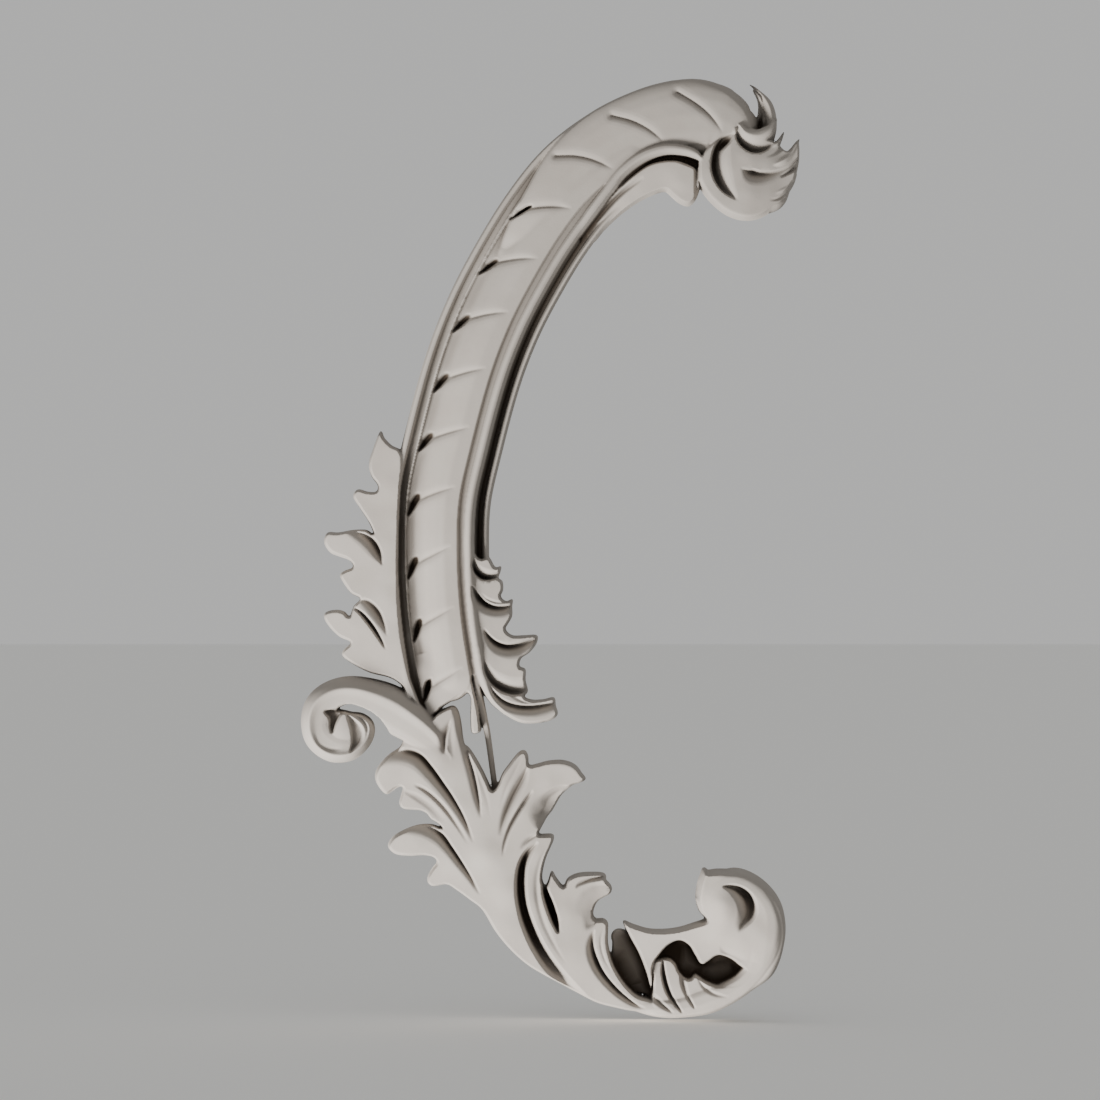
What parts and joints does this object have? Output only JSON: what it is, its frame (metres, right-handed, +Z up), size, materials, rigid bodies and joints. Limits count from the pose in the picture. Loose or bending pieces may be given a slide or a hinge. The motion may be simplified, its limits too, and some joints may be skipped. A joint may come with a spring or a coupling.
{
  "type": "scroll onlay",
  "caption": "Left-hand C-scroll onlay cast in one piece: a notched moulded arm with a flame-like head, sprays of acanthus leaf and two volutes, flat at the back.",
  "frame": {"origin": "on the flat back, behind the middle of the moulded arm at the height of the inner leaf's top tip", "axes": "+Z up along the onlay's height, +Y into the panel it is fixed to, +X towards the open side of the C"},
  "size_m": [0.2484, 0.034, 0.4642],
  "materials": {
    "cast_plaster": "matte off-white cast plaster"
  },
  "bodies": {
    "root": {"scroll_onlay": "cast_plaster"}
  },
  "joints": []
}
